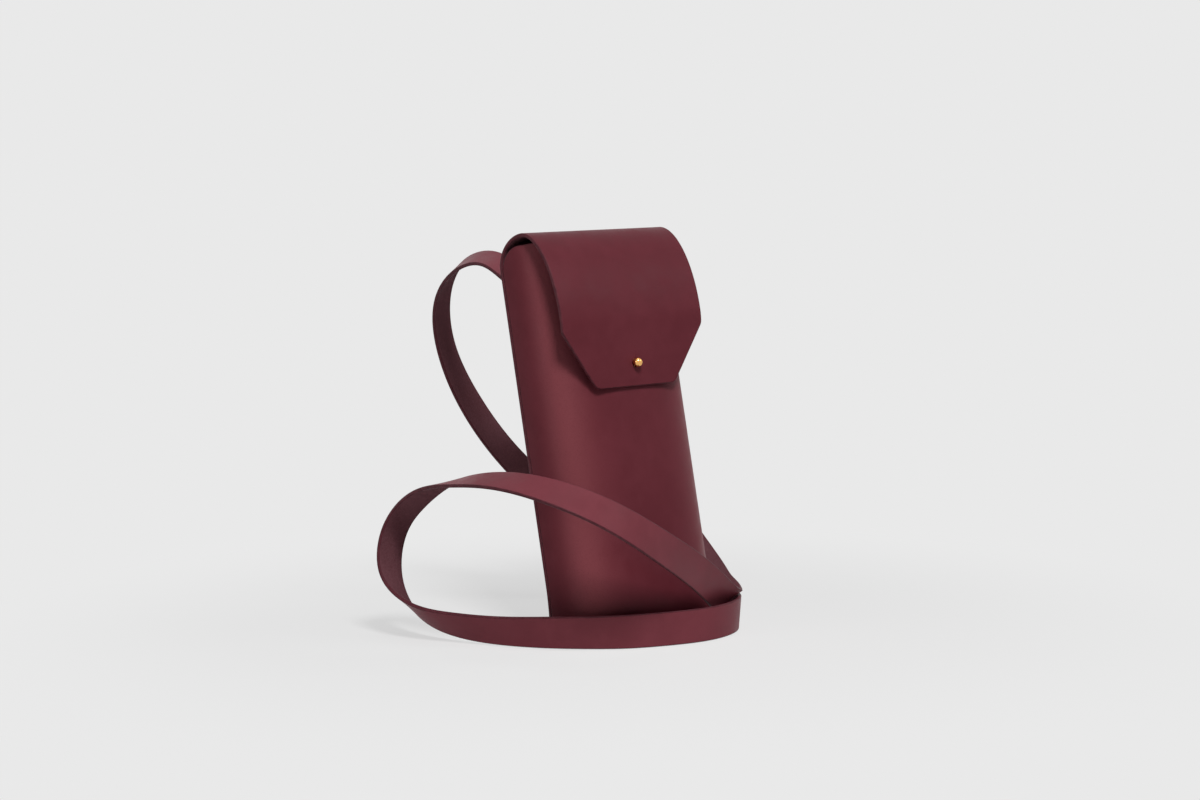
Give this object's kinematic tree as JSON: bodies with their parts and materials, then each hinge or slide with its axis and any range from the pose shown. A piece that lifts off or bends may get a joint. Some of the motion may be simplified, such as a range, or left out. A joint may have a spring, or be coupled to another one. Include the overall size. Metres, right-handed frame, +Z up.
{
  "type": "leather sling pouch",
  "caption": "Open-topped oval leather pouch with a hinged closing flap, a ball stud closure and a long carrying strap fixed behind the flap's fold.",
  "frame": {"origin": "middle of the pouch's flat underside, on the surface that it stands on", "axes": "+X is to the right of the pouch seen from its front, +Y points to its back, +Z is up. The pouch's flap and stud face -Y, and its walls lean back towards +Y as they rise."},
  "size_m": [0.1902, 0.2093, 0.2166],
  "materials": {
    "back_panel": "smooth matte burgundy leather",
    "flap": "smooth matte burgundy leather",
    "front_panel": "smooth matte burgundy leather",
    "base_panel": "smooth matte burgundy leather",
    "closure_stud": "polished",
    "stud_screw": "polished",
    "strap": "smooth matte burgundy leather",
    "rivet_post_left_lower": "polished",
    "rivet_post_left_upper": "polished",
    "rivet_post_right_lower": "polished",
    "rivet_post_right_upper": "polished",
    "rivet_cap_left_lower": "polished",
    "rivet_cap_left_upper": "polished",
    "rivet_cap_right_lower": "polished",
    "rivet_cap_right_upper": "polished"
  },
  "bodies": {
    "pouch": {"back_panel": "back_panel", "front_panel": "front_panel", "base_panel": "base_panel", "closure_stud": "closure_stud", "stud_screw": "stud_screw", "strap": "strap", "rivet_post_left_lower": "rivet_post_left_lower", "rivet_post_left_upper": "rivet_post_left_upper", "rivet_post_right_lower": "rivet_post_right_lower", "rivet_post_right_upper": "rivet_post_right_upper", "rivet_cap_left_lower": "rivet_cap_left_lower", "rivet_cap_left_upper": "rivet_cap_left_upper", "rivet_cap_right_lower": "rivet_cap_right_lower", "rivet_cap_right_upper": "rivet_cap_right_upper"},
    "flap": {"flap": "flap"}
  },
  "joints": [
    {"name": "flap_hinge", "type": "hinge", "parent": "pouch", "child": "flap", "pos_m": [0, 0.05872, 0.1952], "axis": [-1, 0, 0], "range_deg": [0, 100]}
  ]
}
